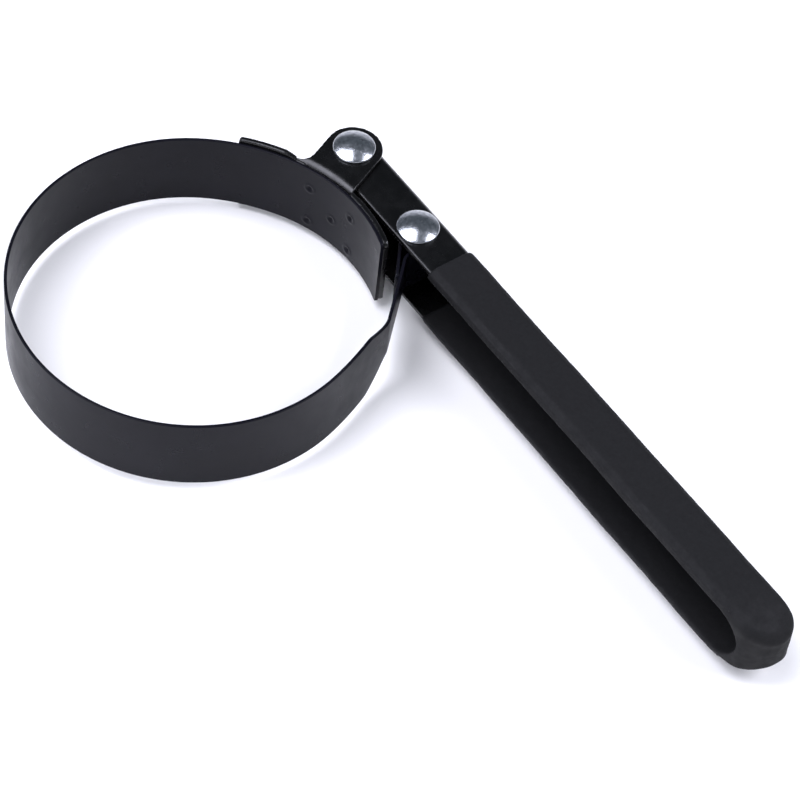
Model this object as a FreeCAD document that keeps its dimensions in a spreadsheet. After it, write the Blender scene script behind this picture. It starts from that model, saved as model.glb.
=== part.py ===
"""Band-type oil filter wrench with a swivel handle.

A spring-steel band is welded at one end inside a saddle bracket. A channel handle pivots between the
bracket's ears, and the band's other end loops round a second rivet in the handle, so swinging the handle
pulls the band in.

Frame: the origin is on the ring's axis at mid-height of the band, +Z is the ring's axis, and +X runs along
the handle from the pivot to the grip. Millimetres, and degrees measured anticlockwise from +X.
"""

import FreeCAD, Part
import Sketcher
import math
import os

Vector = FreeCAD.Vector
UP = Vector(0, 0, 1)

DIMENSIONS = {
    # band
    "ring_radius": 50.0,         # outer face of the round stretch
    "band_thickness": 0.9,
    "band_width": 24.2,
    "saddle_radius": 47.0,       # band's outer face where the bracket holds it
    "shoulder_radius": 58.0,     # flatter stretch between the saddle and the round one
    "saddle_start": 71.4,        # direction of the band's welded end from the saddle's centre
    "shoulder_start": 111.0,
    "round_start": 144.0,
    "first_hinge": 150.0,        # where the band starts to flex
    "hinge_step": 35.0,
    "hinge_count": 7,
    "hinge_gap": 0.12,           # between neighbouring lengths of band
    "round_end": 16.0,           # where the tail leaves the round stretch
    "dimple_radius": 1.2,
    "dimple_depth": 0.35,
    "weld_left": 112.0,
    "weld_middle": 102.0,
    "weld_right": 93.0,
    "weld_high": 4.8,
    "weld_centre": -2.1,
    "weld_low": 8.5,
    # rivets
    "pivot_x": -15.6,
    "pivot_y": 63.3,
    "rivet_x": 16.2,
    "rivet_y": 62.5,
    "shank_radius": 3.0,
    "head_radius": 6.0,
    "head_rim": 0.7,
    "head_height": 2.4,
    "running_gap": 0.06,
    # handle channel
    "channel_height": 20.6,
    "channel_open_y": 56.0,
    "channel_web_y": 70.1,
    "gauge": 1.5,                # of the folded and pressed steel
    "bend_radius": 2.3,
    "bend_inside": 0.8,
    "channel_end_x": 160.0,
    "nose_radius": 7.3,          # rounded flange ends round the pivot
    # grip
    "grip_start_x": 30.6,
    "grip_end_x": 172.4,
    "grip_skin": 0.7,
    "hollow_end_x": 165.0,
    "grip_round": 3.0,           # long outer edges on the web side, and the tip
    # saddle bracket
    "ear_radius": 8.0,
    "ear_gap": 0.2,              # between an ear and the channel's flange
    "ear_heading": -66.4,        # from the pivot to the ear's root
    "ear_bend": 3.5,             # outer radius of the bend from plate to ear
    "flare_radius": 3.2,         # hollow curve from the ear's far side into the plate
    "flare_reach": 11.6,         # from the pivot to the plate, along that side
    "flare_step": 0.1,           # how far that curve stops short of the side
    "lip_start": 117.0,
    "bracket_end": 134.0,
    "lip_rise": 1.3,
    "lip_slope": 4.0,            # along the plate's edge, where the lip rises
    "lip_corner": 1.25,          # at its far end
    "plate_corner": 1.8,         # at the end by the band's welded end
    # band tail and eye
    "flat_radius": 99.0,         # the gently curved stretch that narrows
    "flat_before_taper": 9.1,    # turn of that stretch before it narrows
    "flat_angle": 15.4,          # its whole turn
    "taper_length": 10.2,
    "straight_length": 0.38,
    "knee_radius": 8.0,
    "knee_angle": 12.1,
    "neck_length": 14.6,         # from the knee to the leg's end
    "leg_length": 6.5,           # where the leg lies along the strip
    "sweep_radius": 4.0,
    "eye_gap": 0.75,             # slack between the eye and the rivet's shank
    "tab_width": 14.0,
}


class Size:
    """A number from the sheet, or worked out from it, with the expression that says how."""

    def __init__(self, value, text):
        self.value = value
        self.text = text

    def _joined(self, other, sign, value):
        other = as_size(other)
        return Size(value(self.value, other.value), f"({self.text} {sign} {other.text})")

    def __add__(self, other):
        return self._joined(other, "+", lambda a, b: a + b)

    def __sub__(self, other):
        return self._joined(other, "-", lambda a, b: a - b)

    def __mul__(self, other):
        return self._joined(other, "*", lambda a, b: a * b)

    def __truediv__(self, other):
        return self._joined(other, "/", lambda a, b: a / b)

    def __neg__(self):
        return Size(-self.value, f"(-1 * {self.text})")


def as_size(number):
    return number if isinstance(number, Size) else Size(float(number), repr(float(number)))


def cosine(angle):
    angle = as_size(angle)
    return Size(math.cos(math.radians(angle.value)), f"cos({angle.text})")


def sine(angle):
    angle = as_size(angle)
    return Size(math.sin(math.radians(angle.value)), f"sin({angle.text})")


def bind(thing, **sizes):
    """Binds each property of a document object to its size. A double underscore stands for a dot."""
    for name, size in sizes.items():
        thing.setExpression(name.replace("__", "."), as_size(size).text)
    return thing


doc = FreeCAD.newDocument("oil_filter_wrench")
table = doc.addObject("Spreadsheet::Sheet", "Dimensions")
for row, (alias, number) in enumerate(DIMENSIONS.items(), start=1):
    table.set(f"A{row}", alias)
    table.set(f"B{row}", repr(number))
    table.setAlias(f"B{row}", alias)
doc.recompute()


def cell(alias):
    return Size(float(table.get(alias)), f"Dimensions.{alias}")


class Sizes:
    """Every size by name: S.band_width is the sheet's cell band_width."""

    def __getattr__(self, alias):
        return cell(alias)


S = Sizes()
HALF_BAND = S.band_width / 2
HALF_CHANNEL = S.channel_height / 2
EAR_TOP = HALF_CHANNEL + S.ear_gap + S.gauge
SPARE = 2  # how far a cutting tool reaches past what it cuts

# The band's outer line is three tangent arcs: the round stretch about the origin, the shoulder, the saddle.
SHOULDER_X = (S.ring_radius - S.shoulder_radius) * cosine(S.round_start)
SHOULDER_Y = (S.ring_radius - S.shoulder_radius) * sine(S.round_start)
SADDLE_X = SHOULDER_X + (S.shoulder_radius - S.saddle_radius) * cosine(S.shoulder_start)
SADDLE_Y = SHOULDER_Y + (S.shoulder_radius - S.saddle_radius) * sine(S.shoulder_start)


# --- small builders -------------------------------------------------------------------------------


def place(thing, x=0.0, y=0.0, z=0.0, turn=0.0):
    """Puts a primitive at x, y, z, turned about Z."""
    thing.Placement = FreeCAD.Placement(Vector(0, 0, 0), FreeCAD.Rotation(UP, 1.0))
    bind(thing, Placement__Base__x=x, Placement__Base__y=y, Placement__Base__z=z)
    return bind(thing, Placement__Rotation__Angle=turn)


def cylinder(name, radius, low, high, x=0.0, y=0.0, start=0.0, sweep=360.0):
    """A cylinder, or a sector of one, between two heights."""
    thing = doc.addObject("Part::Cylinder", name)
    bind(thing, Radius=radius, Height=as_size(high) - low, Angle=sweep)
    return place(thing, x, y, low, start)


def combine(kind, name, *parts):
    """A Part boolean. Cut takes the later parts from the first."""
    if kind == "Cut" and len(parts) > 2:
        parts = (parts[0], combine("MultiFuse", f"{name}_tool", *parts[1:]))
    if kind in ("MultiFuse", "MultiCommon"):
        thing = doc.addObject(f"Part::{kind}", name)
        thing.Shapes = list(parts)
        return thing
    thing = doc.addObject(f"Part::{kind}", name)
    thing.Base, thing.Tool = parts
    return thing


def sector(name, outer, thickness, half_height, start, end, x=0.0, y=0.0):
    """A curved strip of sheet: part of a ring about (x, y), from start to end, standing on edge."""
    sweep = as_size(end) - start
    half = as_size(half_height)
    whole = cylinder(f"{name}_outside", outer, -half, half, x, y, start, sweep)
    inner, reach = as_size(outer) - thickness, half + SPARE
    core = cylinder(f"{name}_inside", inner, -reach, reach, x, y, start, sweep)
    return combine("Cut", name, whole, core)


def origin_plane(body, role):
    return next(plane for plane in body.Origin.OriginFeatures if plane.Role == role)


def new_sketch(body, name, role, offset=None):
    """A sketch on one of the body's own origin planes, moved along the plane's normal by offset."""
    sketch = body.newObject("Sketcher::SketchObject", name)
    sketch.AttachmentSupport = [(origin_plane(body, role), "")]
    sketch.MapMode = "FlatFace"
    if offset is not None:
        bind(sketch, AttachmentOffset__Base__z=offset)
    return sketch


def pin_point(sketch, curve, end, x, y):
    """Ties a curve's end to x, y, both bound to the sheet."""
    for kind, size in (("DistanceX", as_size(x)), ("DistanceY", as_size(y))):
        index = sketch.addConstraint(Sketcher.Constraint(kind, -1, 1, curve, end, size.value))
        sketch.setExpression(f"Constraints[{index}]", size.text)


def outline(sketch, points):
    """A closed outline through the points. A third value starts an arc of that radius, right if negative.

    A sketch keeps every arc anticlockwise, so an arc that turns right has its two ends the other way round.
    """
    ends = [(2, 1) if len(point) == 3 and as_size(point[2]).value < 0 else (1, 2) for point in points]
    for i, point in enumerate(points):
        x0, y0 = as_size(point[0]), as_size(point[1])
        x1, y1 = (as_size(value) for value in points[(i + 1) % len(points)][:2])
        start = Vector(x0.value, y0.value, 0)
        end = Vector(x1.value, y1.value, 0)
        if len(point) == 2:
            sketch.addGeometry(Part.LineSegment(start, end), False)
            continue
        radius = as_size(point[2])
        if radius.value < 0:
            radius, side = -radius, -1
        else:
            side = 1
        chord = end - start
        reach = math.sqrt(max(radius.value**2 - chord.Length**2 / 4, 0.0))
        inward = Vector(-chord.y, chord.x, 0).normalize() * side
        middle = (start + end) / 2 + inward * (reach - radius.value)
        sketch.addGeometry(Part.Arc(start, middle, end), False)
        index = sketch.addConstraint(Sketcher.Constraint("Radius", i, radius.value))
        sketch.setExpression(f"Constraints[{index}]", radius.text)
    for i, point in enumerate(points):
        following = (i + 1) % len(points)
        sketch.addConstraint(Sketcher.Constraint("Coincident", i, ends[i][1], following, ends[following][0]))
        pin_point(sketch, i, ends[i][0], point[0], point[1])


def pad(body, name, sketch, length, symmetric=False):
    feature = body.newObject("PartDesign::Pad", name)
    feature.Profile = sketch
    feature.Midplane = symmetric
    bind(feature, Length=length)
    return feature


def pocket(body, name, base, sketch, length):
    """Cuts the sketch's outline both ways through the body, and makes sure that it took something away."""
    feature = body.newObject("PartDesign::Pocket", name)
    feature.Profile = sketch
    feature.Midplane = True
    bind(feature, Length=length)
    doc.recompute()
    if feature.Shape.Volume >= base.Shape.Volume:
        raise SystemExit(f"{name} cut nothing")
    return feature


def fillet(body, name, base, wanted, radius):
    """Rounds the edges of base that wanted picks."""
    doc.recompute()
    edges = [f"Edge{i}" for i, edge in enumerate(base.Shape.Edges, start=1) if wanted(edge)]
    feature = body.newObject("PartDesign::Fillet", name)
    feature.Base = (base, edges)
    bind(feature, Radius=radius)
    return feature


def along_x(edge, y, z):
    """Whether a straight edge runs along X at that |z| and y."""
    middle = edge.BoundBox.Center
    return edge.BoundBox.XLength > 10 and abs(middle.y - y) < 0.05 and abs(abs(middle.z) - z) < 0.05


# --- rivets ---------------------------------------------------------------------------------------


def rivet(name, x, y, half_grip):
    """A shank with a low domed head at each end. half_grip is from mid-height to the underside of a head."""
    body = doc.addObject("PartDesign::Body", name)
    sketch = new_sketch(body, f"{name}_section", "XZ_Plane")
    rim = half_grip + S.head_rim
    crown = half_grip + S.head_height
    dome = S.head_height - S.head_rim
    dome_radius = (S.head_radius * S.head_radius + dome * dome) / (dome * 2)
    points = [
        (0, -crown, dome_radius),
        (S.head_radius, -rim),
        (S.head_radius, -half_grip),
        (S.shank_radius, -half_grip),
        (S.shank_radius, half_grip),
        (S.head_radius, half_grip),
        (S.head_radius, rim, dome_radius),
        (0, crown),
    ]
    outline(sketch, points)
    turned = body.newObject("PartDesign::Revolution", f"{name}_turned")
    turned.Profile = sketch
    turned.ReferenceAxis = (sketch, ["V_Axis"])
    turned.Angle = 360
    return place(body, x, y)


# --- handle ---------------------------------------------------------------------------------------


def channel_blank():
    """The folded U-section, open towards the ring, its near end rounded about the pivot."""
    body = doc.addObject("PartDesign::Body", "channel_blank")
    nose_x = S.pivot_x - S.nose_radius
    inside = HALF_CHANNEL - S.gauge
    floor_y = S.channel_web_y - S.gauge
    section = new_sketch(body, "channel_section", "YZ_Plane", nose_x)
    points = [
        (S.channel_open_y, -HALF_CHANNEL),
        (S.channel_web_y, -HALF_CHANNEL),
        (S.channel_web_y, HALF_CHANNEL),
        (S.channel_open_y, HALF_CHANNEL),
        (S.channel_open_y, inside),
        (floor_y, inside),
        (floor_y, -inside),
        (S.channel_open_y, -inside),
    ]
    outline(section, points)
    base = pad(body, "channel_run", section, S.channel_end_x - nose_x)
    for name, y, z, radius in (
        ("outer_bends", S.channel_web_y, HALF_CHANNEL, S.bend_radius),
        ("inner_bends", floor_y, inside, S.bend_inside),
    ):
        edge_y, edge_z = y.value, z.value
        base = fillet(body, name, base, lambda edge, y=edge_y, z=edge_z: along_x(edge, y, z), radius)
    nose = new_sketch(body, "nose_outline", "XY_Plane")
    beyond = nose_x - SPARE
    points = [
        (S.pivot_x, S.pivot_y + S.nose_radius, S.nose_radius),
        (nose_x, S.pivot_y, S.nose_radius),
        (S.pivot_x, S.pivot_y - S.nose_radius),
        (S.pivot_x, S.pivot_y - S.nose_radius - SPARE),
        (beyond, S.pivot_y - S.nose_radius - SPARE),
        (beyond, S.pivot_y + S.nose_radius),
    ]
    outline(nose, points)
    pocket(body, "nose_cut", base, nose, S.channel_height * 2)
    return body


def handle_channel(blank):
    """The blank with a hole for each rivet."""
    holes = [
        cylinder(f"{name}_hole", S.shank_radius, -S.channel_height, S.channel_height, x, y)
        for name, x, y in (("pivot", S.pivot_x, S.pivot_y), ("band", S.rivet_x, S.rivet_y))
    ]
    return combine("Cut", "handle_channel", blank, *holes)


def grip_block():
    """The outside of the dipped grip, solid, with a full round tip."""
    body = doc.addObject("PartDesign::Body", "grip_block")
    near_y = S.channel_open_y - S.grip_skin
    far_y = S.channel_web_y + S.grip_skin
    tip_radius = (far_y - near_y) / 2
    middle_y = (far_y + near_y) / 2
    tip_x = S.grip_end_x - tip_radius
    plan = new_sketch(body, "grip_plan", "XY_Plane")
    points = [
        (S.grip_start_x, near_y),
        (tip_x, near_y, tip_radius),
        (S.grip_end_x, middle_y, tip_radius),
        (tip_x, far_y),
        (S.grip_start_x, far_y),
    ]
    outline(plan, points)
    half = HALF_CHANNEL + S.grip_skin
    base = pad(body, "grip_run", plan, half * 2, symmetric=True)

    def rim(edge):
        middle = edge.BoundBox.Center
        flat = edge.BoundBox.ZLength < 0.01 and abs(abs(middle.z) - half.value) < 0.01
        return flat and middle.x > S.grip_start_x.value + SPARE

    def open_rim(edge):
        return rim(edge) and edge.BoundBox.YMax < near_y.value + 0.01

    base = fillet(body, "web_rims", base, lambda edge: rim(edge) and not open_rim(edge), S.grip_round)
    return body


def handle_grip(blank, block):
    """The grip covers the channel inside and out, and is thick and closed at the tip."""
    floor_y = S.channel_web_y - S.gauge - S.grip_skin
    low_y = S.channel_open_y - S.grip_skin - SPARE
    half = HALF_CHANNEL - S.gauge - S.grip_skin
    round_x = S.hollow_end_x - half
    start_x = S.grip_start_x - SPARE
    hollow = doc.addObject("Part::Box", "hollow_run")
    bind(hollow, Length=round_x - start_x, Width=floor_y - low_y, Height=half * 2)
    place(hollow, start_x, low_y, -half)
    end = doc.addObject("Part::Cylinder", "hollow_end")
    bind(end, Radius=half, Height=floor_y - low_y)
    end.Placement = FreeCAD.Placement(Vector(0, 0, 0), FreeCAD.Rotation(Vector(1, 0, 0), -90))
    bind(end, Placement__Base__x=round_x, Placement__Base__y=low_y)
    return combine("Cut", "handle_grip", block, blank, hollow, end)


# --- saddle bracket -------------------------------------------------------------------------------


def saddle_bracket():
    """A plate curved over the band's welded end, with an ear folded outward from each edge for the pivot."""
    outer = S.saddle_radius + S.gauge
    shoulder = S.shoulder_radius + S.gauge
    plate = saddle_sector("plate_saddle", outer, S.gauge)
    plate = round_corners("plate_end", plate, lambda edge: end_corner(edge, S.rivet_x.value), S.plate_corner)
    wing = shoulder_sector("plate_wing", shoulder, S.gauge, S.shoulder_start, S.bracket_end)
    lip = shoulder_sector("plate_lip", shoulder, S.gauge, S.lip_start, S.bracket_end, HALF_BAND + S.lip_rise)
    lip_middle = S.pivot_x.value - S.ear_radius.value * 1.5
    near, far = (lambda edge: end_corner(edge, lip_middle)), (lambda edge: end_corner(edge, lip_middle, -1))
    lip = slope_corners("lip_slopes", lip, near, S.lip_corner, S.lip_slope)
    lip = round_corners("lip_ends", lip, far, S.lip_corner)
    reach = S.ear_radius * 2.5
    tongue = doc.addObject("Part::Box", "ear_tongue")
    bind(tongue, Length=reach, Width=S.ear_radius * 2, Height=(EAR_TOP + SPARE) * 2)
    back_x = S.pivot_x + S.ear_radius * sine(S.ear_heading)
    back_y = S.pivot_y - S.ear_radius * cosine(S.ear_heading)
    place(tongue, back_x, back_y, -EAR_TOP - SPARE, S.ear_heading)
    nose = cylinder("ear_nose", S.ear_radius, -EAR_TOP - SPARE, EAR_TOP + SPARE, S.pivot_x, S.pivot_y)
    ear_plan = combine("MultiFuse", "ear_plan", tongue, nose, ear_flare())
    ears = combine("MultiCommon", "ears", ear_form(), ear_plan)
    plates = combine("Cut", "plates", combine("MultiFuse", "plate", plate, wing, lip), ear_plan)
    whole = combine("MultiFuse", "bracket_whole", plates, ears)
    bore_radius = S.shank_radius + S.running_gap
    bore = cylinder("ear_bore", bore_radius, -EAR_TOP - SPARE, EAR_TOP + SPARE, S.pivot_x, S.pivot_y)
    return combine("Cut", "saddle_bracket", whole, bore)


def ear_flare():
    """What fills the corner between the ear's far side and the plate: a block less a round.

    It ends half way through the plate, so that it stays clear of the band.
    """
    along = S.flare_reach - S.flare_radius
    aside = S.ear_radius + S.flare_radius
    x = S.pivot_x + along * cosine(S.ear_heading) + aside * sine(S.ear_heading)
    y = S.pivot_y + along * sine(S.ear_heading) - aside * cosine(S.ear_heading)
    block = doc.addObject("Part::Box", "flare_block")
    length = S.flare_radius + S.gauge / 2
    bind(block, Length=length, Width=S.flare_radius * 2, Height=(EAR_TOP + SPARE) * 2)
    place(block, x, y, -EAR_TOP - SPARE, S.ear_heading)
    reach = EAR_TOP + SPARE * 2
    hollow = cylinder("flare_round", S.flare_radius - S.flare_step, -reach, reach, x, y)
    return combine("Cut", "ear_flare", block, hollow)


def ear_form():
    """The bent sheet that the ears are cut from: a C-section turned about the saddle's axis."""
    body = doc.addObject("PartDesign::Body", "ear_form")
    section = new_sketch(body, "ear_section", "XZ_Plane")
    plate_in = S.saddle_radius
    plate_out = plate_in + S.gauge
    root = plate_in + S.ear_bend
    tip = root + S.ear_radius * 4
    bend_z = EAR_TOP - S.ear_bend
    under = EAR_TOP - S.gauge
    inner_bend = S.ear_bend - S.gauge
    points = [
        (tip, EAR_TOP),
        (root, EAR_TOP, S.ear_bend),
        (plate_in, bend_z),
        (plate_in, -bend_z, S.ear_bend),
        (root, -EAR_TOP),
        (tip, -EAR_TOP),
        (tip, -under),
        (root, -under, -inner_bend),
        (plate_out, -bend_z),
        (plate_out, bend_z, -inner_bend),
        (root, under),
        (tip, under),
    ]
    outline(section, points)
    turned = body.newObject("PartDesign::Revolution", "ear_turned")
    turned.Profile = section
    turned.ReferenceAxis = (section, ["V_Axis"])
    turned.Angle = 360
    return place(body, SADDLE_X, SADDLE_Y)


# --- band -----------------------------------------------------------------------------------------


def saddle_sector(name, outer, thickness):
    """A strip along the saddle's arc, as tall as the band."""
    return sector(name, outer, thickness, HALF_BAND, S.saddle_start, S.shoulder_start, SADDLE_X, SADDLE_Y)


def shoulder_sector(name, outer, thickness, start, end, half_height=HALF_BAND):
    """A strip along the shoulder's arc, concentric with it."""
    return sector(name, outer, thickness, half_height, start, end, SHOULDER_X, SHOULDER_Y)


def end_corner(edge, beyond_x, side=1):
    """Whether this is a short edge across the plate's thickness, past beyond_x on that side."""
    across = abs(edge.Length - S.gauge.value) < 0.01 and edge.BoundBox.ZLength < 0.01
    return across and (edge.BoundBox.Center.x - beyond_x) * side > 0


def dress_corners(kind, name, base, wanted, down, along):
    """A Part fillet or chamfer on the edges of base that wanted picks: down the end, along the rim."""
    doc.recompute()
    feature = doc.addObject(f"Part::{kind}", name)
    feature.Base = base
    numbers = [i for i, edge in enumerate(base.Shape.Edges, start=1) if wanted(edge)]
    feature.Edges = [(number, down.value, along.value) for number in numbers]
    return feature


def round_corners(name, base, wanted, radius):
    return dress_corners("Fillet", name, base, wanted, radius, radius)


def slope_corners(name, base, wanted, down, along):
    return dress_corners("Chamfer", name, base, wanted, down, along)


def band_arc(name, start, end):
    """A length of the round stretch."""
    return sector(name, S.ring_radius, S.band_thickness, HALF_BAND, start, end)


def hinge_angle(number):
    return S.first_hinge + S.hinge_step * number


def gap_angle():
    """Half the gap between neighbouring lengths of band, as an angle at the ring's axis."""
    return S.hinge_gap / 2 / S.ring_radius * math.degrees(1.0)


def band_welded_end():
    """The band's end inside the bracket, with its five weld dimples, as far as the first flexing place."""
    saddle = saddle_sector("end_saddle", S.saddle_radius, S.band_thickness)
    start, end = S.shoulder_start, S.round_start
    shoulder = shoulder_sector("end_shoulder", S.shoulder_radius, S.band_thickness, start, end)
    round_part = band_arc("end_round", S.round_start, S.first_hinge - gap_angle())
    strip = combine("MultiFuse", "end_strip", saddle, shoulder, round_part)
    dimples = []
    inside = S.saddle_radius - S.band_thickness
    rows = (
        (S.weld_left, (S.weld_high, -S.weld_low)),
        (S.weld_middle, (S.weld_centre,)),
        (S.weld_right, (S.weld_high, -S.weld_low)),
    )
    for angle, heights in rows:
        for height in heights:
            ball = doc.addObject("Part::Sphere", "dimple")
            bind(ball, Radius=S.dimple_radius)
            distance = inside - S.dimple_radius + S.dimple_depth
            place(ball, SADDLE_X + distance * cosine(angle), SADDLE_Y + distance * sine(angle), height)
            dimples.append(ball)
    return combine("Cut", "band_welded_end", strip, *dimples)


def band_lengths():
    """The flexing stretch, a separate length between each two neighbouring hinges."""
    return [
        band_arc(f"band_length_{n + 1}", hinge_angle(n) + gap_angle(), hinge_angle(n + 1) - gap_angle())
        for n in range(round(S.hinge_count.value) - 1)
    ]


class Strip:
    """Bends a strip of sheet standing on edge into straight runs and tangent arcs, and keeps the solids."""

    def __init__(self, x, y, heading, thickness, width):
        self.x, self.y, self.heading = x, y, heading
        self.thickness = thickness
        self.width = width
        self.solids = []

    def direction(self, turn=0.0):
        angle = math.radians(self.heading + turn)
        return Vector(math.cos(angle), math.sin(angle), 0)

    def _keep(self, face):
        face.translate(Vector(0, 0, -self.width / 2))
        self.solids.append(face.extrude(Vector(0, 0, self.width)))

    def line(self, length):
        start = Vector(self.x, self.y, 0)
        side = self.direction(90) * (self.thickness / 2)
        end = start + self.direction() * length
        corners = [start + side, start - side, end - side, end + side]
        self._keep(Part.Face(Part.makePolygon(corners + corners[:1])))
        self.x, self.y = end.x, end.y

    def arc(self, radius, turn):
        """Turns left by a positive angle, right by a negative one."""
        side = 1 if turn > 0 else -1
        start = Vector(self.x, self.y, 0)
        centre = start + self.direction(90 * side) * radius
        out = start - centre

        def spoke(share, reach):
            rotated = FreeCAD.Rotation(UP, turn * share).multVec(out)
            return centre + rotated.normalize() * reach

        near, far = radius - self.thickness / 2, radius + self.thickness / 2
        edges = [
            Part.Arc(spoke(0, far), spoke(0.5, far), spoke(1, far)).toShape(),
            Part.makeLine(spoke(1, far), spoke(1, near)),
            Part.Arc(spoke(1, near), spoke(0.5, near), spoke(0, near)).toShape(),
            Part.makeLine(spoke(0, near), spoke(0, far)),
        ]
        self._keep(Part.Face(Part.Wire(edges)))
        end = spoke(1, radius)
        self.x, self.y = end.x, end.y
        self.heading += turn

    def solid(self):
        first, *rest = self.solids
        return first.multiFuse(rest).removeSplitter()


def band_tail():
    """The last of the round stretch, the kinked and necked tail, and the eye round the second rivet."""
    middle = S.ring_radius.value - S.band_thickness.value / 2
    start = hinge_angle(S.hinge_count.value - 1) + gap_angle()
    angle = math.radians(start.value)
    strip = Strip(
        middle * math.cos(angle),
        middle * math.sin(angle),
        start.value + 90,
        S.band_thickness.value,
        S.band_width.value,
    )
    strip.arc(middle, S.round_end.value - start.value + 360 * round(start.value / 360 - 0.5))
    strip.arc(S.flat_radius.value, S.flat_before_taper.value)
    taper_at = Vector(strip.x, strip.y, 0)
    taper_turn = S.flat_angle.value - S.flat_before_taper.value
    taper_heading = strip.heading + taper_turn / 2
    strip.arc(S.flat_radius.value, taper_turn)
    strip.line(S.straight_length.value)
    strip.arc(S.knee_radius.value, S.knee_angle.value)
    strip.line(S.neck_length.value)
    leg_end = Vector(strip.x, strip.y, 0) + strip.direction(90) * (S.band_thickness.value * 0.9)
    strip.line(S.leg_length.value)
    rivet_at = Vector(S.rivet_x.value, S.rivet_y.value, 0)
    eye_radius = S.shank_radius.value + S.eye_gap.value + S.band_thickness.value / 2
    sweep, run = reach_eye(strip, rivet_at, eye_radius, S.sweep_radius.value)
    strip.arc(S.sweep_radius.value, -sweep)
    strip.line(run)
    strip.arc(eye_radius, eye_turn(strip, rivet_at, eye_radius, leg_end))
    strip.line((leg_end - Vector(strip.x, strip.y, 0)).Length)
    feature = doc.addObject("Part::Feature", "band_tail")
    feature.Shape = strip.solid().cut(taper_offcuts(taper_at, taper_heading))
    feature.Placement = FreeCAD.Placement()
    return feature


def taper_offcuts(corner, heading):
    """What is cut from the full-width strip, above and below, to narrow it to the tab."""
    angle = math.radians(heading)
    along = Vector(math.cos(angle), math.sin(angle), 0)
    across = Vector(-along.y, along.x, 0) * S.ring_radius.value
    full, tab, length = S.band_width.value / 2, S.tab_width.value / 2, S.taper_length.value
    beyond = S.ring_radius.value * 1.5
    outline_points = [(0, full), (length, tab), (beyond, tab), (beyond, full + SPARE), (0, full + SPARE)]
    offcuts = []
    for side in (1, -1):
        corners = [corner + along * run - across + UP * (side * rise) for run, rise in outline_points]
        face = Part.Face(Part.makePolygon(corners + corners[:1]))
        offcuts.append(face.extrude(across * 2))
    return offcuts


def reach_eye(strip, rivet_at, eye_radius, sweep_radius):
    """How far the tab sweeps right, and then runs straight, to meet the eye's right-hand side."""
    start = Vector(strip.x, strip.y, 0)
    centre = start + strip.direction(-90) * sweep_radius
    span = rivet_at - centre
    bearing = math.degrees(math.atan2(span.y, span.x))
    lean = math.degrees(math.acos((sweep_radius + eye_radius) / span.Length))
    return (strip.heading + 90 - bearing - lean) % 360, span.Length * math.sin(math.radians(lean))


def eye_turn(strip, rivet_at, eye_radius, leg_end):
    """How far the eye turns left before its leg can run straight back to leg_end."""
    span = leg_end - rivet_at
    bearing = math.degrees(math.atan2(span.y, span.x))
    lean = math.degrees(math.acos(eye_radius / span.Length))
    return (bearing - lean + 90 - strip.heading) % 360


# --- the parts ------------------------------------------------------------------------------------

blank = channel_blank()
parts = {
    "saddle_bracket": saddle_bracket(),
    "band_welded_end": band_welded_end(),
    "band_tail": band_tail(),
    "handle_channel": handle_channel(blank),
    "handle_grip": handle_grip(blank, grip_block()),
    "pivot_rivet": rivet("pivot_rivet", S.pivot_x, S.pivot_y, EAR_TOP + S.running_gap),
    "band_rivet": rivet("band_rivet", S.rivet_x, S.rivet_y, HALF_CHANNEL),
}
parts.update({thing.Name: thing for thing in band_lengths()})

doc.recompute()
failed = [thing.Name for thing in doc.Objects if {"Invalid", "Error"} & set(thing.State)]
if failed:
    raise SystemExit(f"these objects failed: {failed}")
for node, thing in parts.items():
    thing.Label = node
    shape = thing.Shape
    if shape.isNull() or not shape.isValid() or len(shape.Solids) != 1:
        raise SystemExit(f"{node} is not one valid solid: {len(shape.Solids)} solids")

os.makedirs("parts", exist_ok=True)
for node, thing in sorted(parts.items()):
    thing.Shape.exportStep(os.path.join("parts", f"{node}.step"))
    box = thing.Shape.BoundBox
    size = f"{box.XLength:.1f} x {box.YLength:.1f} x {box.ZLength:.1f} mm"
    print(f"{node}: {thing.Shape.Volume:.1f} mm3, {size}")
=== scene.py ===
"""The looks of a band-type oil filter wrench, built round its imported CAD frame.

Sizes below are in millimetres in the part's frame (origin on the ring's axis, +X along the handle, +Z
along the ring's axis) and become metres where a mesh is made.
"""

import math

import bmesh
import bpy
from mathutils import Matrix, Vector, noise


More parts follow.
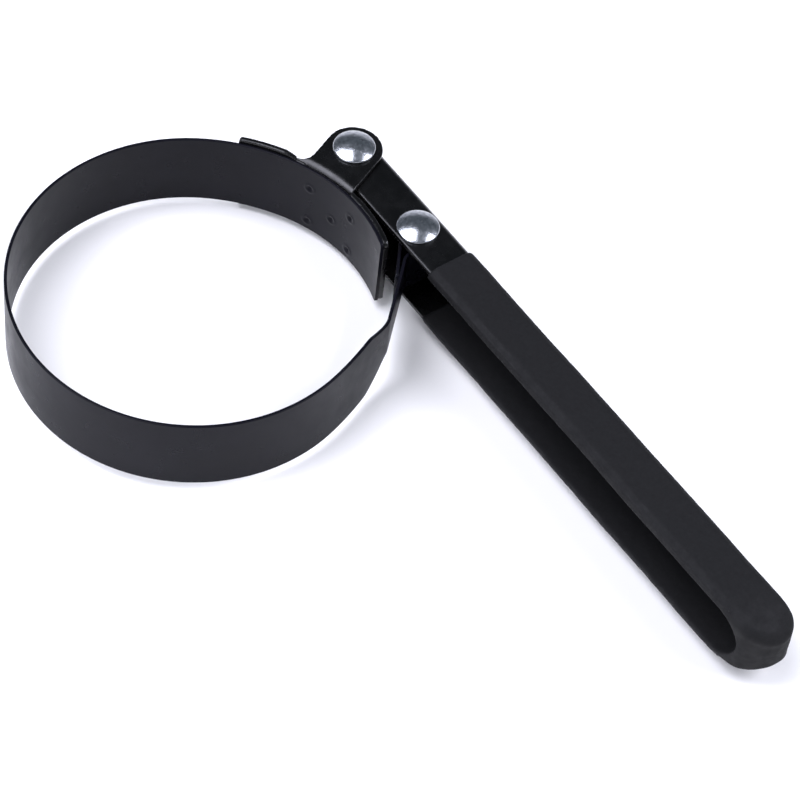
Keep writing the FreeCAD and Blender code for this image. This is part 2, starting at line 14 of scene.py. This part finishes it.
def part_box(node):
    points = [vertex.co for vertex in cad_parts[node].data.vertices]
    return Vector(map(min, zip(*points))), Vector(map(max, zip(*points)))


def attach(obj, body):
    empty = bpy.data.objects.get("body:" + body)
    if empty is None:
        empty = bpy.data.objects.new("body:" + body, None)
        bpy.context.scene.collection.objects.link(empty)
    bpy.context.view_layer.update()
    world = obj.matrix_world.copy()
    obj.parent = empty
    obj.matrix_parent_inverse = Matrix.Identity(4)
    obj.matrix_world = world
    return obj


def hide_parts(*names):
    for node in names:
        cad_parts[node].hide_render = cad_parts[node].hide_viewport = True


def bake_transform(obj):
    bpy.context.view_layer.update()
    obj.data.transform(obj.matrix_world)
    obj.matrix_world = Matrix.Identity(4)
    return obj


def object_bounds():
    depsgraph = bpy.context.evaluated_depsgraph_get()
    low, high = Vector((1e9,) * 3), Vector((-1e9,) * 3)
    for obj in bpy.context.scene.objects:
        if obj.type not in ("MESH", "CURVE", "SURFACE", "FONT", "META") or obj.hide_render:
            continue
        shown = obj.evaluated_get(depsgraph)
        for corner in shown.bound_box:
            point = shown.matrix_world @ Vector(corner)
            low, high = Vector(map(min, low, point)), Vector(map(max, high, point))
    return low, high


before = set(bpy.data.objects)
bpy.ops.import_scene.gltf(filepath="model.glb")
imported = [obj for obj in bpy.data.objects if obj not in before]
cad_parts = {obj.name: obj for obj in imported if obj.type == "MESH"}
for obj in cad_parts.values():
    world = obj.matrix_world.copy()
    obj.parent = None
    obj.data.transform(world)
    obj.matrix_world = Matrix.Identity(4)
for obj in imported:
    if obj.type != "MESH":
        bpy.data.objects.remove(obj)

cad_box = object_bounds()

MM = 0.001

# Driving dimensions, as in the CAD model. Directions and turns are in degrees.
RING_RADIUS = 50.0        # this and the next two radii are to the band's outer face
SADDLE_RADIUS = 47.0      # the stretch welded into the bracket
SHOULDER_RADIUS = 58.0    # the stretch between that and the round one
BAND_THICKNESS = 0.9
BAND_WIDTH = 24.2
SADDLE_START = 71.4
SHOULDER_START = 111.0
ROUND_START = 144.0
ROUND_END = 360.0 + 16.0
FIRST_HINGE = 150.0
HINGE_STEP = 35.0
HINGE_COUNT = 7
PIVOT = Vector((-15.6, 63.3, 0.0))
BAND_PIN = Vector((16.2, 62.5, 0.0))
SHEET = 1.5               # thickness of the channel's steel
SHANK_RADIUS = 3.0
HEAD_RADIUS = 6.0
HEAD_RIM = 0.7            # height of the rivet head's upright edge
HEAD_HEIGHT = 2.4
FLAT = (99.0, 15.4)       # radius and turn of the gently curved stretch that narrows
FLAT_BEFORE_TAPER = 9.1   # how much of that turn comes before it narrows
TAPER_LENGTH = 10.2
STRAIGHT_LENGTH = 0.38    # from that stretch to the knee
KNEE = (8.0, 12.1)        # radius and turn
NECK_LENGTH = 14.6
LEG_LENGTH = 6.5          # how far the eye's leg lies back along the neck
SWEEP_RADIUS = 4.0        # the bend between the neck and the eye
EYE_GAP = 0.75
TAB_WIDTH = 14.0

MIDDLE_RADIUS = RING_RADIUS - BAND_THICKNESS / 2


# --- meshes ---------------------------------------------------------------------------------------


def new_piece(name, points, faces, smooth_angle=35.0):
    """An object from points in millimetres, shaded smooth except across sharp edges."""
    mesh = bpy.data.meshes.new(name)
    mesh.from_pydata([Vector(point) * MM for point in points], [], faces)
    mesh.update()
    mesh.shade_smooth()
    mesh.set_sharp_from_angle(angle=math.radians(smooth_angle))
    piece = bpy.data.objects.new(name, mesh)
    bpy.context.scene.collection.objects.link(piece)
    return piece


def loft(name, rings):
    """A closed skin over rings that have the same number of points, with a flat cap at each end."""
    count = len(rings[0])
    points = [point for ring in rings for point in ring]
    faces = [tuple(reversed(range(count)))]
    for i in range(len(rings) - 1):
        for j in range(count):
            k = (j + 1) % count
            faces.append((i * count + j, i * count + k, (i + 1) * count + k, (i + 1) * count + j))
    last = (len(rings) - 1) * count
    faces.append(tuple(range(last, last + count)))
    return new_piece(name, points, faces)


def finish_piece(piece, material, body=None):
    """Assigns the material and, for a rigid piece, the body it rides on."""
    piece.data.materials.clear()
    piece.data.materials.append(material)
    if body:
        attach(piece, body)


# --- band -----------------------------------------------------------------------------------------

CORNER = 0.22            # rounding of the band's long edges
CORNER_STEPS = 3         # flats in that rounding
SUPPORT = 0.12           # flat strip beside that rounding, which keeps the wide faces' shading flat
END_CORNER = 1.0         # rounding of the strip's corners in the flat
END_CORNER_STEPS = 6
TAPER_BLEND = 1.6        # how far the rounding reaches either side of the taper's two corners
TAPER_BLEND_STEPS = 8
BAND_STEP = 0.45         # distance between sections along the band
FINE_STEP = 0.3          # the same where it is welded and where it curls
WELD_COLUMNS = 80        # strips across the welded end's inner face

# The direction from the saddle's centre and the height of each spot weld
WELDS = ((112.0, 4.8), (112.0, -8.5), (102.0, -2.1), (93.0, 4.8), (93.0, -8.5))
WELD_DEPTH = 0.42
WELD_REACH = 0.72
WELD_RIM_HEIGHT = 0.13   # of the ridge pushed up round each weld
WELD_RIM_RADIUS = 1.35
WELD_RIM_REACH = 0.42


def heading_vector(degrees):
    """One unit long in the ring's plane, turned anticlockwise from +X."""
    return Vector((math.cos(math.radians(degrees)), math.sin(math.radians(degrees)), 0.0))


class Path:
    """The band's middle line in plan: straight runs and tangent arcs, read by distance from its start."""

    def __init__(self, start, heading):
        self.runs = []
        self.end = start
        self.heading = heading
        self.length = 0.0

    def add(self, length, curvature=0.0):
        """curvature is in degrees per millimetre, positive to the left."""
        self.runs.append((self.length, self.end, self.heading, curvature))
        self.length += length
        self.end, self.heading = self.at(self.length)
        return self

    def arc(self, radius, turn):
        length = radius * math.radians(abs(turn))
        return self.add(length, turn / length)

    def at(self, distance):
        """The point there and the heading in degrees."""
        begin, start, heading, curvature = self.runs[0]
        for run in self.runs[1:]:
            if run[0] <= distance:
                begin, start, heading, curvature = run
        travelled = distance - begin
        if not curvature:
            return start + heading_vector(heading) * travelled, heading
        radius = 1 / math.radians(curvature)
        centre = start + heading_vector(heading + 90) * radius
        turned = heading + curvature * travelled
        return centre - heading_vector(turned + 90) * radius, turned


def saddle_centre():
    """The centre of the saddle's arc, tangent to the shoulder's, which is tangent to the round stretch."""
    shoulder = heading_vector(ROUND_START) * (RING_RADIUS - SHOULDER_RADIUS)
    return shoulder + heading_vector(SHOULDER_START) * (SHOULDER_RADIUS - SADDLE_RADIUS)


def band_path():
    """The whole band, from its welded end round the ring and its tail to the eye's leg."""
    half = BAND_THICKNESS / 2
    start = saddle_centre() + heading_vector(SADDLE_START) * (SADDLE_RADIUS - half)
    path = Path(start, SADDLE_START + 90)
    path.arc(SADDLE_RADIUS - half, SHOULDER_START - SADDLE_START)
    path.arc(SHOULDER_RADIUS - half, ROUND_START - SHOULDER_START)
    path.arc(MIDDLE_RADIUS, ROUND_END - ROUND_START)
    taper_start = path.length + FLAT[0] * math.radians(FLAT_BEFORE_TAPER)
    path.arc(*FLAT)
    path.add(STRAIGHT_LENGTH)
    path.arc(*KNEE)
    path.add(NECK_LENGTH)
    leg_end = path.end + heading_vector(path.heading + 90) * BAND_THICKNESS
    path.add(LEG_LENGTH)
    eye_radius = SHANK_RADIUS + EYE_GAP + half
    centre = path.end + heading_vector(path.heading - 90) * SWEEP_RADIUS
    span = BAND_PIN - centre
    lean = math.degrees(math.acos((SWEEP_RADIUS + eye_radius) / span.length))
    bearing = math.degrees(math.atan2(span.y, span.x))
    sweep = (path.heading + 90 - bearing - lean) % 360
    path.arc(SWEEP_RADIUS, -sweep)
    path.add(span.length * math.sin(math.radians(lean)))
    span = leg_end - BAND_PIN
    lean = math.degrees(math.acos(eye_radius / span.length))
    bearing = math.degrees(math.atan2(span.y, span.x))
    path.arc(eye_radius, (bearing - lean + 90 - path.heading) % 360)
    path.add((leg_end - path.end).length)
    return path, taper_start


BAND, TAPER_START = band_path()
ROUND_DISTANCE = BAND.runs[2][0]


def distance_at(angle):
    """How far along the band a direction on the round stretch is."""
    return ROUND_DISTANCE + MIDDLE_RADIUS * math.radians(angle - ROUND_START)


def quarter(steps):
    """The angles of a quarter turn, in equal steps."""
    return [math.pi / 2 * i / steps for i in range(steps + 1)]


def blend_corner(before, corner, after):
    """A curve from one mark to another that is tangent to the lines through the corner."""
    curve = []
    for i in range(TAPER_BLEND_STEPS + 1):
        t = i / TAPER_BLEND_STEPS
        weights = ((1 - t) ** 2, 2 * t * (1 - t), t**2)
        marks = zip(weights, (before, corner, after))
        pairs = [(weight * mark[0], weight * mark[1]) for weight, mark in marks]
        curve.append((sum(pair[0] for pair in pairs), sum(pair[1] for pair in pairs)))
    return curve


def flat_outline():
    """(distance, half width) along the flat strip wherever its width changes."""
    half = BAND_WIDTH / 2
    tab = TAB_WIDTH / 2
    slope = (half - tab) / TAPER_LENGTH * TAPER_BLEND
    taper_end = TAPER_START + TAPER_LENGTH
    marks = []
    for a in quarter(END_CORNER_STEPS):
        marks.append((END_CORNER * (1 - math.cos(a)), half - END_CORNER * (1 - math.sin(a))))
    first = (TAPER_START, half)
    marks += blend_corner((TAPER_START - TAPER_BLEND, half), first, (TAPER_START + TAPER_BLEND, half - slope))
    last = (taper_end, tab)
    marks += blend_corner((taper_end - TAPER_BLEND, tab + slope), last, (taper_end + TAPER_BLEND, tab))
    for a in quarter(END_CORNER_STEPS):
        marks.append((BAND.length - END_CORNER * (1 - math.sin(a)), tab - END_CORNER * (1 - math.cos(a))))
    return marks


OUTLINE = flat_outline()


def half_width(distance):
    """The strip's half width there, read off between the outline's marks."""
    for (d0, w0), (d1, w1) in zip(OUTLINE, OUTLINE[1:]):
        if distance < d1:
            return w0 + (w1 - w0) * (distance - d0) / (d1 - d0)
    return OUTLINE[-1][1]


def strip_section(half, columns):
    """Points (outward, up) round the strip's section: upper edge, inner face, lower edge, outer face."""
    side = BAND_THICKNESS / 2
    flat = half - CORNER - SUPPORT
    points = []
    for out, up, first in ((1, 1, 0), (-1, 1, 90), (-1, -1, 180), (1, -1, 270)):
        for i in range(CORNER_STEPS + 1):
            angle = math.radians(first + 90 / CORNER_STEPS * i)
            points.append((
                out * (side - CORNER) + CORNER * math.cos(angle),
                up * (half - CORNER) + CORNER * math.sin(angle),
            ))
        if first == 90:
            points += [(-side, flat - 2 * flat * i / columns) for i in range(columns + 1)]
    points += [(side, -flat), (side, flat)]
    return points


def weld_push(point):
    """How far the inner face sinks (positive) or rises at a point, round the five spot welds."""
    push = 0.0
    for angle, height in WELDS:
        centre = saddle_centre() + heading_vector(angle) * (SADDLE_RADIUS - BAND_THICKNESS)
        centre.z = height
        away = (point - centre).length
        dent = WELD_DEPTH * math.exp(-((away / WELD_REACH) ** 2))
        rim = WELD_RIM_HEIGHT * math.exp(-(((away - WELD_RIM_RADIUS) / WELD_RIM_REACH) ** 2))
        push += dent - rim
    return push


def band_piece(name, start, end, step=BAND_STEP, columns=1):
    """The band between two distances along it. With many columns its inner face shows the welds."""
    count = math.ceil((end - start) / step)
    stops = {start + (end - start) * i / count for i in range(count + 1)}
    stops |= {mark[0] for mark in OUTLINE if start <= mark[0] <= end}
    rings = []
    for stop in sorted(stops):
        point, heading = BAND.at(stop)
        outward = heading_vector(heading - 90)
        ring = []
        for out, up in strip_section(half_width(stop), columns):
            place = point + outward * out + Vector((0, 0, up))
            if columns > 1 and out < 0 and abs(up) < BAND_WIDTH / 2 - CORNER:
                place += outward * weld_push(place)
            ring.append(place)
        rings.append(ring)
    return loft(name, rings)


def build_band(material):
    """A welded end, one piece spanning each hinge, and the tail with its eye."""
    half_step = HINGE_STEP / 2
    cuts = [distance_at(FIRST_HINGE + HINGE_STEP * i - half_step) for i in range(HINGE_COUNT + 1)]
    welded = band_piece("band_welded", 0.0, cuts[0], step=FINE_STEP, columns=WELD_COLUMNS)
    finish_piece(welded, material, "head")
    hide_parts("band_welded_end")
    for i in range(HINGE_COUNT):
        piece = band_piece(f"band_bend_{i + 1}", cuts[i], cuts[i + 1])
        finish_piece(piece, material)
        start = BAND.at(cuts[i])[0] * MM
        end = BAND.at(cuts[i + 1])[0] * MM
        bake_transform(piece)
        if i < HINGE_COUNT - 1:
            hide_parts(f"band_length_{i + 1}")
    tail = band_piece("band_tail_eye", cuts[-1], BAND.length, step=FINE_STEP)
    finish_piece(tail, material, "tail")
    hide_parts("band_tail")


# --- pressed steel: bracket and handle ------------------------------------------------------------

# Size of the even cells that each skin is remade in, and how many rounds of smoothing it gets
BRACKET_SKIN = (0.24, 4)
CHANNEL_SKIN = (0.4, 2)
GRIP_SKIN = (0.42, 7)
SOFTENING = 0.5          # how far each round moves a point towards its neighbours' middle


def one_skin(piece, voxel, rounds):
    """Remakes the mesh in fine even cells, softens its edges and returns it as plain mesh data."""
    remesh = piece.modifiers.new("one_skin", "REMESH")
    remesh.mode = "VOXEL"
    remesh.voxel_size = voxel * MM
    remesh.use_smooth_shade = True
    soften = piece.modifiers.new("soft_rims", "SMOOTH")
    soften.factor = SOFTENING
    soften.iterations = rounds
    bpy.context.view_layer.update()
    evaluated = piece.evaluated_get(bpy.context.evaluated_depsgraph_get())
    final = bpy.data.meshes.new_from_object(evaluated)
    piece.modifiers.clear()
    piece.data = final
    return final


def copy_node(node, name):
    """A new object with the shape of a CAD node."""
    piece = bpy.data.objects.new(name, bpy.data.meshes.new_from_object(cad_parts[node]))
    bpy.context.scene.collection.objects.link(piece)
    return piece


def pressed_steel(node, name, material, body, skin):
    """A CAD node's shape with its sheared edges rounded over, as a pressed and painted sheet has."""
    piece = copy_node(node, name)
    one_skin(piece, *skin)
    finish_piece(piece, material, body)
    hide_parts(node)


# --- rivets ---------------------------------------------------------------------------------------

RIM_ROUNDING = 0.35      # of the head's lower edge
RIM_STEPS = 5
DOME_INSET = 0.12        # from the head's side to where the dome starts
DOME_ROWS = 28
RIVET_STEPS = 96         # points round the rivet
TIP_RADIUS = 0.002       # of the ring of points that closes the top
DENT_START = 0.5         # height on the head above which it is dented
DENTS = ((0.33, 0.05), (1.1, 0.012))  # how many there are per millimetre and how deep they are
DENT_SINK = 0.07         # keeps the dented dome inside the CAD model's
DENT_FADE = 4            # how sharply the dents fade at the rim


def rivet_profile(half_grip):
    """(radius, height) from the middle of the shank to the top of the domed head."""
    dome = HEAD_HEIGHT - HEAD_RIM
    dome_radius = (HEAD_RADIUS**2 + dome**2) / (2 * dome)
    centre = half_grip + HEAD_HEIGHT - dome_radius
    soft = RIM_ROUNDING
    profile = [(SHANK_RADIUS, 0.0), (SHANK_RADIUS, half_grip), (HEAD_RADIUS - soft, half_grip)]
    for a in quarter(RIM_STEPS):
        profile.append((HEAD_RADIUS - soft + soft * math.sin(a), half_grip + soft - soft * math.cos(a)))
    edge = math.asin((HEAD_RADIUS - DOME_INSET) / dome_radius)
    for i in range(DOME_ROWS + 1):
        angle = edge * (1 - i / DOME_ROWS)
        profile.append((dome_radius * math.sin(angle), centre + dome_radius * math.cos(angle)))
    return profile


def dome_dent(point, centre):
    """How far a head's dome is moved outward at a point: always below zero, so it only sinks."""
    return sum(noise.noise(point * per_mm + centre) * depth for per_mm, depth in DENTS) - DENT_SINK


def build_rivet(name, node, centre, material):
    """A shank with a hammered dome on each end, very slightly uneven."""
    half_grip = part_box(node)[1].z / MM - HEAD_HEIGHT
    upper = rivet_profile(half_grip)
    profile = [(radius, -height) for radius, height in reversed(upper[1:])] + upper
    points, faces = [], []
    for radius, height in profile:
        for i in range(RIVET_STEPS):
            angle = 2 * math.pi * i / RIVET_STEPS
            point = heading_vector(math.degrees(angle)) * max(radius, TIP_RADIUS) + Vector((0, 0, height))
            if abs(height) > half_grip + DENT_START:
                fade = 1 - (radius / HEAD_RADIUS) ** DENT_FADE
                point.z += dome_dent(point, centre) * math.copysign(1.0, height) * fade
            points.append(point + centre)
    for row in range(len(profile) - 1):
        for i in range(RIVET_STEPS):
            j = (i + 1) % RIVET_STEPS
            here, above = row * RIVET_STEPS, (row + 1) * RIVET_STEPS
            faces.append((here + i, here + j, above + j, above + i))
    faces.append(tuple(reversed(range(RIVET_STEPS))))
    last = (len(profile) - 1) * RIVET_STEPS
    faces.append(tuple(range(last, last + RIVET_STEPS)))
    piece = new_piece(name, points, faces, smooth_angle=50)
    finish_piece(piece, material, "handle")
    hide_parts(node)


# --- grip -----------------------------------------------------------------------------------------

CORE_GAP = 0.2           # from the core's sides to the middle of the outer skin
CORE_CORNER = 2.2        # how far the cores stay out of the sleeve's round corners
TIP_START = 152.0
TIP_THINNING = 0.45      # share of its height that the tip has lost at its very end
TIP_LEAN = 2.0
DRIP_PLACE = Vector((168.0, 67.0, -10.2))
DRIP_REACH = 2.4
DRIP_HEIGHT = 0.5
WAVES_PER_MM = Vector((0.055, 0.08, 0.08))  # along each axis
WAVE_HEIGHT = 0.2
LUMPS_PER_MM = 0.45
LUMP_HEIGHT = 0.05
END_RIM = 0.5            # at the open end the skin is even this far, and then lumpy over the next stretch
END_STRETCH = 4


def add_box(shape, low, high):
    """Adds a box between two corners, given in millimetres, to a mesh that is being edited."""
    made = bmesh.ops.create_cube(shape, size=1.0)["verts"]
    for vertex in made:
        vertex.co = Vector([low[i] if vertex.co[i] < 0 else high[i] for i in range(3)]) * MM


def build_grip(material):
    """The dipped vinyl: soft rims, a closed round tip, a lumpy skin and the last drip from dipping.

    Boxes fill the hollow in the sleeve where the steel goes, so that its two faces become one skin.
    """
    low, high = (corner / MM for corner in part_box("handle_grip"))
    steel_low, steel_high = (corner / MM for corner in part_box("handle_channel"))
    piece = copy_node("handle_grip", "vinyl_grip")
    skin = steel_low.y - low.y
    wall = 2 * skin + SHEET
    shape = bmesh.new()
    shape.from_mesh(piece.data)
    inset = skin / 2
    far_x = steel_high.x + inset
    for side in (-1, 1):
        lower, upper = sorted((side * (high.z - inset - CORE_GAP), side * (high.z - wall + inset)))
        add_box(shape, (low.x, low.y + inset, lower), (far_x, high.y - CORE_CORNER, upper))
    web_low = (low.x, high.y - wall + inset, low.z + CORE_CORNER)
    add_box(shape, web_low, (far_x, high.y - inset, high.z - CORE_CORNER))
    shape.to_mesh(piece.data)
    shape.free()
    final = one_skin(piece, *GRIP_SKIN)
    skin_points = [(vertex.co / MM, vertex.normal.copy()) for vertex in final.vertices]
    for vertex, (point, normal) in zip(final.vertices, skin_points):
        moved = grip_tip(point, high.x) + grip_shift(point, normal, low.x)
        vertex.co = Vector([min(max(moved[i], low[i]), high[i]) for i in range(3)]) * MM
    final.update()
    finish_piece(piece, material, "handle")
    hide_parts("handle_grip")


def grip_tip(point, end_x):
    """The tip thins towards its end and leans to the web's side, where the vinyl last ran."""
    share = max(0.0, (point.x - TIP_START) / (end_x - TIP_START)) ** 3
    return Vector((point.x, point.y + TIP_LEAN * share, point.z * (1 - TIP_THINNING * share)))


def grip_shift(point, normal, start_x):
    """How the dipped skin stands in or out: long slow waves, small lumps and the last drip."""
    waves = noise.noise(point * WAVES_PER_MM) * WAVE_HEIGHT
    lumps = noise.noise(point * LUMPS_PER_MM) * LUMP_HEIGHT
    drip = DRIP_HEIGHT * math.exp(-((point - DRIP_PLACE).length / DRIP_REACH) ** 2)
    held = min(1.0, max(0.0, (point.x - start_x - END_RIM) / END_STRETCH))
    return normal * ((waves + lumps + drip) * held)


# --- materials ------------------------------------------------------------------------------------


class Finish:
    """A node material: a Principled shader with its texture nodes added by small steps."""

    def __init__(self, name, color, roughness, metallic=0.0):
        self.material = bpy.data.materials.new(name)
        self.material.use_nodes = True
        self.tree = self.material.node_tree
        self.shader = self.tree.nodes["Principled BSDF"]
        self.shader.inputs["Base Color"].default_value = (*color, 1.0)
        self.shader.inputs["Roughness"].default_value = roughness
        self.shader.inputs["Metallic"].default_value = metallic
        self.place = self.tree.nodes.new("ShaderNodeTexCoord").outputs["Object"]

    def noise(self, size_mm, detail=4.0, roughness=0.55, distortion=0.0):
        """Cloudy variation whose patches are about size_mm across."""
        node = self.tree.nodes.new("ShaderNodeTexNoise")
        node.inputs["Scale"].default_value = 1 / (size_mm * MM)
        node.inputs["Detail"].default_value = detail
        node.inputs["Roughness"].default_value = roughness
        node.inputs["Distortion"].default_value = distortion
        self.tree.links.new(self.place, node.inputs["Vector"])
        return node.outputs["Fac"]

    def spread(self, value, low, high, start=0.3, end=0.7):
        """Maps a noise value from start..end to low..high."""
        node = self.tree.nodes.new("ShaderNodeMapRange")
        node.inputs["From Min"].default_value = start
        node.inputs["From Max"].default_value = end
        node.inputs["To Min"].default_value = low
        node.inputs["To Max"].default_value = high
        self.tree.links.new(value, node.inputs["Value"])
        return node.outputs["Result"]

    def tint(self, value, *stops):
        """Colours by value: stops are (position, colour)."""
        node = self.tree.nodes.new("ShaderNodeValToRGB")
        ramp = node.color_ramp
        while len(ramp.elements) < len(stops):
            ramp.elements.new(1.0)
        for element, (position, color) in zip(ramp.elements, stops):
            element.position = position
            element.color = (*color, 1.0)
        self.tree.links.new(value, node.inputs["Fac"])
        self.tree.links.new(node.outputs["Color"], self.shader.inputs["Base Color"])

    def rough(self, value, low, high):
        self.tree.links.new(self.spread(value, low, high), self.shader.inputs["Roughness"])

    def bump(self, *layers):
        """Each layer is (height value, depth in millimetres)."""
        normal = None
        for value, depth in layers:
            node = self.tree.nodes.new("ShaderNodeBump")
            node.inputs["Strength"].default_value = 1.0
            node.inputs["Distance"].default_value = depth * MM
            self.tree.links.new(value, node.inputs["Height"])
            if normal:
                self.tree.links.new(normal, node.inputs["Normal"])
            normal = node.outputs["Normal"]
        self.tree.links.new(normal, self.shader.inputs["Normal"])


def band_paint():
    """Satin blue-black paint, with faint cloudy streaks and a fine orange peel."""
    finish = Finish("band_paint", (0.004, 0.004, 0.006), 0.34)
    clouds = finish.noise(14, detail=5, distortion=0.4)
    finish.tint(clouds, (0.3, (0.003, 0.003, 0.005)), (0.7, (0.005, 0.005, 0.008)))
    finish.shader.inputs["Specular IOR Level"].default_value = 0.1
    finish.rough(finish.noise(6, detail=6), 0.26, 0.36)
    finish.bump((finish.noise(1.6, detail=2), 0.006), (finish.noise(0.35, detail=2), 0.004))
    return finish.material


def gloss_paint():
    """Glossier black paint on the pressed parts."""
    finish = Finish("gloss_paint", (0.004, 0.004, 0.004), 0.26)
    finish.tint(finish.noise(9), (0.3, (0.0015, 0.0015, 0.0015)), (0.7, (0.003, 0.003, 0.003)))
    finish.shader.inputs["Specular IOR Level"].default_value = 0.4
    finish.rough(finish.noise(4, detail=6), 0.2, 0.34)
    finish.bump((finish.noise(2.2, detail=2), 0.012), (finish.noise(0.5, detail=2), 0.004))
    return finish.material


def vinyl():
    """Matt dipped vinyl, finely mottled."""
    finish = Finish("grip_vinyl", (0.010, 0.010, 0.011), 0.7)
    mottle = finish.noise(0.9, detail=6, roughness=0.7)
    finish.tint(mottle, (0.3, (0.004, 0.004, 0.0043)), (0.7, (0.0068, 0.0068, 0.0072)))
    finish.shader.inputs["Specular IOR Level"].default_value = 0.2
    finish.rough(finish.noise(3, detail=5), 0.6, 0.78)
    finish.bump((finish.noise(2.5, detail=3), 0.04), (finish.noise(0.3, detail=3), 0.02))
    return finish.material


def zinc():
    """Bright zinc plate, mottled, with a few dull specks."""
    finish = Finish("zinc", (0.62, 0.64, 0.66), 0.2, metallic=1.0)
    mottle = finish.noise(1.3, detail=8, roughness=0.7)
    finish.tint(mottle, (0.25, (0.30, 0.31, 0.32)), (0.42, (0.50, 0.52, 0.54)), (0.65, (0.68, 0.70, 0.72)))
    finish.rough(finish.noise(1.1, detail=6, roughness=0.65), 0.16, 0.28)
    finish.bump((finish.noise(0.8, detail=5), 0.010))
    return finish.material


# --- stage ----------------------------------------------------------------------------------------

AZIMUTH = 48.8
ELEVATION = 52.25
ROLL = 7.41
DISTANCE = 855.7
TARGET = Vector((48.73, 35.62, -12.1))
FOCAL_LENGTH = 142.8
FLOOR_HALF = 1600.0
FLOOR_GAP = 0.2          # between the part and the floor

LIGHT_TARGET = Vector((50.0, 30.0, 0.0))
LIGHT_COLOR = (0.86, 0.87, 1.0)
SKY_COLOR = (0.085, 0.10, 0.12)
HORIZON_TOP = 0.1        # sines of the heights between which the pale horizon fades into the sky
SKY_BOTTOM = 0.35
# Name, azimuth from the camera's, elevation, then distance, width and height in metres, and watts
SOFTBOXES = (
    ("over_left", -88, 65, 1.6, 0.9, 1.15, 28),
    ("over_right", 88, 48, 1.6, 0.9, 0.7, 22),
    ("fill", -45, 28, 1.6, 1.2, 0.8, 18),
)


def direction(azimuth, elevation):
    """From the object towards a viewer there."""
    a, e = math.radians(azimuth), math.radians(elevation)
    return Vector((math.sin(a) * math.cos(e), -math.cos(a) * math.cos(e), math.sin(e)))


def add_camera():
    """A long lens from above, on the ring's side of the handle, a little rolled."""
    data = bpy.data.cameras.new("camera")
    data.lens = FOCAL_LENGTH
    data.sensor_width = 36.0
    data.clip_start = 0.05
    data.clip_end = 10.0
    camera = bpy.data.objects.new("camera", data)
    back = direction(AZIMUTH, ELEVATION)
    camera.location = (TARGET + back * DISTANCE) * MM
    facing = (-back).to_track_quat("-Z", "Y").to_matrix()
    camera.rotation_euler = (facing @ Matrix.Rotation(math.radians(ROLL), 3, "Z")).to_euler()
    bpy.context.scene.collection.objects.link(camera)
    bpy.context.scene.camera = camera


def add_floor():
    """A pale plain table top just under the part."""
    half = FLOOR_HALF * MM
    z = cad_box[0].z - FLOOR_GAP * MM
    corners = [(-half, -half, z), (half, -half, z), (half, half, z), (-half, half, z)]
    mesh = bpy.data.meshes.new("floor")
    mesh.from_pydata(corners, [], [(0, 1, 2, 3)])
    floor = bpy.data.objects.new("floor", mesh)
    bpy.context.scene.collection.objects.link(floor)
    finish = Finish("floor", (0.93, 0.92, 0.88), 0.8)
    mesh.materials.append(finish.material)


def add_softbox(name, azimuth, elevation, distance, width, height, power):
    """A rectangular area light that faces the object."""
    data = bpy.data.lights.new(name, "AREA")
    data.shape = "RECTANGLE"
    data.size = width
    data.size_y = height
    data.energy = power
    data.color = LIGHT_COLOR
    lamp = bpy.data.objects.new(name, data)
    away = direction(AZIMUTH + azimuth, elevation)
    lamp.location = LIGHT_TARGET * MM + away * distance
    lamp.rotation_euler = (-away).to_track_quat("-Z", "Y").to_euler()
    bpy.context.scene.collection.objects.link(lamp)


def add_sky():
    """A sky that is pale at the horizon and below it, and dark overhead."""
    world = bpy.data.worlds.new("studio")
    world.use_nodes = True
    nodes, links = world.node_tree.nodes, world.node_tree.links
    place = nodes.new("ShaderNodeTexCoord")
    split = nodes.new("ShaderNodeSeparateXYZ")
    fade = nodes.new("ShaderNodeValToRGB")
    links.new(place.outputs["Generated"], split.inputs["Vector"])
    links.new(split.outputs["Z"], fade.inputs["Fac"])
    links.new(fade.outputs["Color"], nodes["Background"].inputs["Color"])
    horizon, overhead = fade.color_ramp.elements
    horizon.position, horizon.color = HORIZON_TOP, (*LIGHT_COLOR, 1)
    overhead.position, overhead.color = SKY_BOTTOM, (*SKY_COLOR, 1)
    bpy.context.scene.world = world


def add_lights():
    """Two soft boxes overhead with a gap between them, a low fill, and the sky."""
    for softbox in SOFTBOXES:
        add_softbox(*softbox)
    add_sky()


# --- the scene ------------------------------------------------------------------------------------

bpy.context.scene.view_settings.view_transform = "Standard"
add_camera()
add_floor()
add_lights()

paint = gloss_paint()
metal = zinc()
build_band(band_paint())
pressed_steel("saddle_bracket", "bracket", paint, "head", BRACKET_SKIN)
pressed_steel("handle_channel", "channel", paint, "handle", CHANNEL_SKIN)
build_rivet("rivet_pivot", "pivot_rivet", PIVOT, metal)
build_rivet("rivet_band", "band_rivet", BAND_PIN, metal)
build_grip(vinyl())
